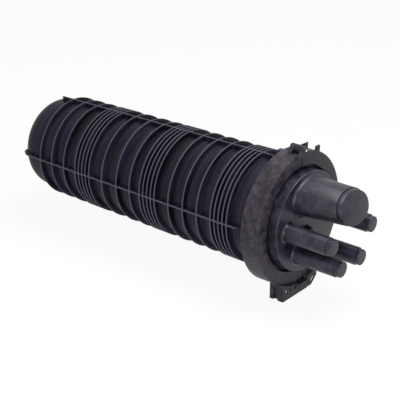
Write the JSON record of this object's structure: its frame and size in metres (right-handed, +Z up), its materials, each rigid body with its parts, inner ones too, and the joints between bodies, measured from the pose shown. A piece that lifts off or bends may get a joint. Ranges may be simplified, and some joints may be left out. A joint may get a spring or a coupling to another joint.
{
  "type": "dome splice closure",
  "caption": "Dome splice closure: long ribbed dome, base with round ports and an oval port, hinged clamp ring with latch, splice trays inside.",
  "frame": {"origin": "centre of the bounding box, at the height of the surface that the closure lies on", "axes": "+X along the closure's axis towards the ports, +Z up with the clamp's hinge on top"},
  "size_m": [0.7166, 0.2344, 0.2675],
  "materials": {
    "dome_plastic": "satin moulded black",
    "base_plastic": "satin moulded black",
    "clamp_plastic": "dull moulded black",
    "valve_metal": "turned",
    "steel": "bright",
    "sheet_steel": "dull",
    "seal_rubber": "dull",
    "tray_plastic": "satin",
    "cover_plastic": "satin",
    "holder_rubber": "dull",
    "strap_fabric": "woven"
  },
  "bodies": {
    "closure": {"dome": "dome_plastic", "base": "base_plastic", "air_valve": "valve_metal", "clamp_left_half": "clamp_plastic", "clamp_hinge_pin": "steel", "latch_pin": "steel", "base_seal": "seal_rubber", "tray_bracket": "sheet_steel", "bracket_screws": "steel", "tray_hinge_block": "tray_plastic", "tray_hinge_pins": "steel", "splice_tray_1": "tray_plastic", "splice_tray_2": "tray_plastic", "splice_tray_3": "tray_plastic", "splice_tray_4": "tray_plastic", "splice_holder_1": "holder_rubber", "splice_holder_2": "holder_rubber", "splice_holder_3": "holder_rubber", "splice_holder_4": "holder_rubber", "tray_cover": "cover_plastic", "tray_strap": "strap_fabric", "slack_basket": "tray_plastic", "strength_clamp_1": "sheet_steel", "strength_clamp_2": "sheet_steel", "strength_clamp_3": "sheet_steel", "strength_clamp_4": "sheet_steel", "strength_clamp_screws": "steel"},
    "clamp_right": {"clamp_right_half": "clamp_plastic", "keeper_pin": "steel"},
    "latch": {"latch_hook": "clamp_plastic"}
  },
  "joints": [
    {"name": "clamp_hinge", "type": "hinge", "parent": "closure", "child": "clamp_right", "pos_m": [0.23615, 0, 0.261], "axis": [1, 0, 0], "range_deg": [0, 105]},
    {"name": "latch_swing", "type": "hinge", "parent": "closure", "child": "latch", "pos_m": [0.23565, -0.002, 0.009], "axis": [-1, 0, 0], "range_deg": [0, 75]}
  ]
}
